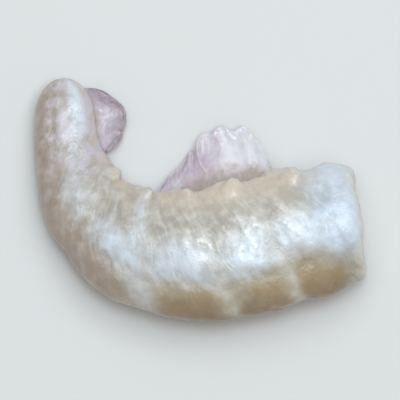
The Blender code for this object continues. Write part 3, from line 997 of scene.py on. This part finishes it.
def flap_creases(skin, along, out, place):
    """Height of the creases and folds, and the trait that their finish reads."""
    bend = FLAP_BEND * noise.noise(place / FLAP_BEND_SIZE)
    across = along / skin.crease_width + bend
    crease = FLAP_CREASE_GAIN * noise.noise(Vector((across, FLAP_CREASE_CHANGE * out, 0.0)))
    across = along / skin.fold_width + FLAP_FOLD_BEND * bend
    fold = noise.noise(Vector((across, FLAP_FOLD_CHANGE * out, FLAP_FOLD_LAYER)))
    fold = FLAP_FOLD_TOP - FLAP_FOLD_FALL * abs(fold)
    height = skin.crease_relief * crease + skin.fold_relief * fold
    height *= math.sin(math.pi * min(out * FLAP_CREASE_ONSET, 0.5))
    return height, crease + FLAP_FOLD_TINT * fold


def flap_point(skin, flap, along_share, out, face):
    """A point on the upper or lower face of a flap, and its traits."""
    along = flap["start"] + (flap["end"] - flap["start"]) * along_share
    point, _, back = midline_at(along)
    root = point - back * (half_sizes(along)[0] - FLAP_ROOT_SINK)
    place = root.lerp(flap_rim(skin, flap, along_share, root, back), out)
    wave = math.sin(math.tau * along / FLAP_RIPPLE_PITCH + FLAP_RIPPLE_LAG * out)
    drop = math.sin(out * math.pi / 2)
    height = flap["root_height"] + (flap["edge_height"] - flap["root_height"]) * drop
    height += FLAP_RIPPLE * wave * out
    creasing, crease = flap_creases(skin, along, out, place)
    lumps = skin.lump_relief * noise.noise(place / skin.lump_size) * out
    height += (creasing + lumps) * flap["unevenness"]
    thickness = (skin.rim_thickness - skin.root_thickness) * out ** FLAP_THINNING
    thickness += skin.root_thickness
    thickness += skin.rim_bead * bell(out - FLAP_BEAD_PLACE, FLAP_BEAD_SPREAD)
    place.z = height + face * thickness / 2
    thinness = flap["thins_along"] * (along_share - 0.5)
    thinness += flap["thins_out"] * (out - FLAP_THIN_FROM)
    return place, {"out": out, "crease": crease, "thinness": thinness}


def flap_surface(skin, flap):
    """A thin creased flap of skin, closed round its rim."""
    surface = Surface()
    sheets = []
    for face in (1, -1):
        rows = []
        for row in range(FLAP_ROWS + 1):
            points = [
                flap_point(skin, flap, row / FLAP_ROWS, column / FLAP_COLUMNS, face)
                for column in range(FLAP_COLUMNS + 1)
            ]
            rows.append([surface.add(place, traits) for place, traits in points])
        sheets.append(rows)
    for rows in sheets:
        for near, far in zip(rows, rows[1:]):
            for column in range(FLAP_COLUMNS):
                surface.faces.append((near[column], far[column], far[column + 1],
                                      near[column + 1]))
    rims = [rim_of(rows) for rows in sheets]
    surface.bridge(*rims)
    return surface


def rim_of(rows):
    """The outer points of a grid, in order round it."""
    root = [row[0] for row in rows[:-1]]
    end = rows[-1][:-1]
    edge = [row[-1] for row in rows[:0:-1]]
    start = rows[0][:0:-1]
    return root + end + edge + start


class PRAWN_OT_add_flesh(bpy.types.Operator):
    """Add the body: flesh with its segments, fibres, leg stubs and cut neck."""

    bl_idname = "prawn.add_flesh"
    bl_label = "Add flesh"

    def execute(self, context):
        flesh = context.scene.prawn_flesh
        add_piece("prawn_flesh", flesh_surface(flesh), FleshFinish(flesh).whole())
        return {"FINISHED"}


class PRAWN_OT_add_loose_skin(bpy.types.Operator):
    """Add the flaps of loose skin beside the belly and at the tail."""

    bl_idname = "prawn.add_loose_skin"
    bl_label = "Add loose skin"

    def execute(self, context):
        flesh = context.scene.prawn_flesh
        skin = context.scene.prawn_skin
        tints = ((skin.belly_pale, skin.belly_thin), (skin.tail_pale, skin.tail_thin))
        for flap, (pale, thin) in zip(FLAPS, tints):
            name = "prawn_" + flap["name"]
            material = skin_finish("raw_" + name, flesh, skin, pale, thin)
            add_piece(name, flap_surface(skin, flap), material)
        return {"FINISHED"}


def floor_finish(stage):
    """A pale, plain, matt floor."""
    finish = Finish("pale_floor")
    clouds = finish.noise(60 * MM, 3.0)
    grain = finish.noise(0.9 * MM, 3.0)
    shader = finish.node("ShaderNodeBsdfPrincipled", {}, {
        "Base Color": finish.shade(stage.floor, 0.985 + 0.03 * clouds),
        "Roughness": 0.55 + 0.1 * clouds,
        "Normal": finish.bump(grain, 0.02 * MM, 0.3),
    })
    finish.node("ShaderNodeOutputMaterial", {}, {"Surface": shader})
    return finish.material


def add_floor(stage):
    half = stage.floor_width / 2
    data = bpy.data.meshes.new("floor")
    corners = [(-half, -half, 0.0), (half, -half, 0.0), (half, half, 0.0), (-half, half, 0.0)]
    data.from_pydata(corners, [], [(0, 1, 2, 3)])
    data.materials.append(floor_finish(stage))
    floor = bpy.data.objects.new("floor", data)
    floor.location.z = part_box("prawn")[0].z - FLOOR_GAP
    bpy.context.scene.collection.objects.link(floor)


def add_soft_light(name, direction, distance, width, brightness, tint):
    """A square light that faces the prawn; its brightness is what a white mirror would show."""
    data = bpy.data.lights.new(name, "AREA")
    data.shape = "SQUARE"
    data.size = width
    data.energy = brightness * math.pi * width ** 2
    data.color = tint
    light = bpy.data.objects.new(name, data)
    light.location = Vector(direction).normalized() * distance
    light.rotation_euler = Vector(direction).to_track_quat("Z", "Y").to_euler()
    bpy.context.scene.collection.objects.link(light)


def add_room_light(stage):
    world = bpy.data.worlds.new("room_light")
    world.use_nodes = True
    background = world.node_tree.nodes["Background"]
    background.inputs["Color"].default_value = (*stage.room, 1.0)
    background.inputs["Strength"].default_value = ROOM_BRIGHTNESS
    bpy.context.scene.world = world


def add_camera(stage):
    """A camera straight over the prawn, far off, as the photograph was taken."""
    data = bpy.data.cameras.new("camera")
    data.lens = data.sensor_width * stage.camera_distance / stage.view_width
    data.clip_start = CAMERA_NEAR
    camera = bpy.data.objects.new("camera", data)
    low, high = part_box("prawn")
    middle = (low + high) / 2
    camera.location = (middle.x, middle.y, middle.z + stage.camera_distance)
    bpy.context.scene.collection.objects.link(camera)
    bpy.context.scene.camera = camera


class PRAWN_OT_add_stage(bpy.types.Operator):
    """Add the floor, the soft studio light and the camera."""

    bl_idname = "prawn.add_stage"
    bl_label = "Add stage"

    def execute(self, context):
        stage = context.scene.prawn_stage
        add_floor(stage)
        for light in LIGHTS:
            add_soft_light(*light, stage.daylight)
        add_room_light(stage)
        add_camera(stage)
        context.scene.view_settings.view_transform = "Standard"
        return {"FINISHED"}


class PRAWN_PT_looks(bpy.types.Panel):
    """Steps that build the prawn's looks, with their settings."""

    bl_label = "Peeled raw prawn"
    bl_idname = "PRAWN_PT_looks"
    bl_space_type = "VIEW_3D"
    bl_region_type = "UI"
    bl_category = "Prawn"

    def draw(self, context):
        for operator, group in STEPS:
            box = self.layout.box()
            box.operator(operator.bl_idname)
            settings = getattr(context.scene, group)
            for name in settings.__annotations__:
                box.prop(settings, name)


STEPS = (
    (PRAWN_OT_add_flesh, "prawn_flesh"),
    (PRAWN_OT_add_loose_skin, "prawn_skin"),
    (PRAWN_OT_add_stage, "prawn_stage"),
)
SETTINGS = {
    "prawn_flesh": FleshSettings,
    "prawn_skin": SkinSettings,
    "prawn_stage": StageSettings,
}


def register():
    for name, group in SETTINGS.items():
        bpy.utils.register_class(group)
        setattr(bpy.types.Scene, name, PointerProperty(type=group))
    for operator, _ in STEPS:
        bpy.utils.register_class(operator)
    bpy.utils.register_class(PRAWN_PT_looks)


def unregister():
    bpy.utils.unregister_class(PRAWN_PT_looks)
    for operator, _ in reversed(STEPS):
        bpy.utils.unregister_class(operator)
    for name, group in SETTINGS.items():
        delattr(bpy.types.Scene, name)
        bpy.utils.unregister_class(group)


def main():
    register()
    bpy.ops.prawn.add_flesh()
    bpy.ops.prawn.add_loose_skin()
    bpy.ops.prawn.add_stage()


if __name__ == "__main__":
    main()
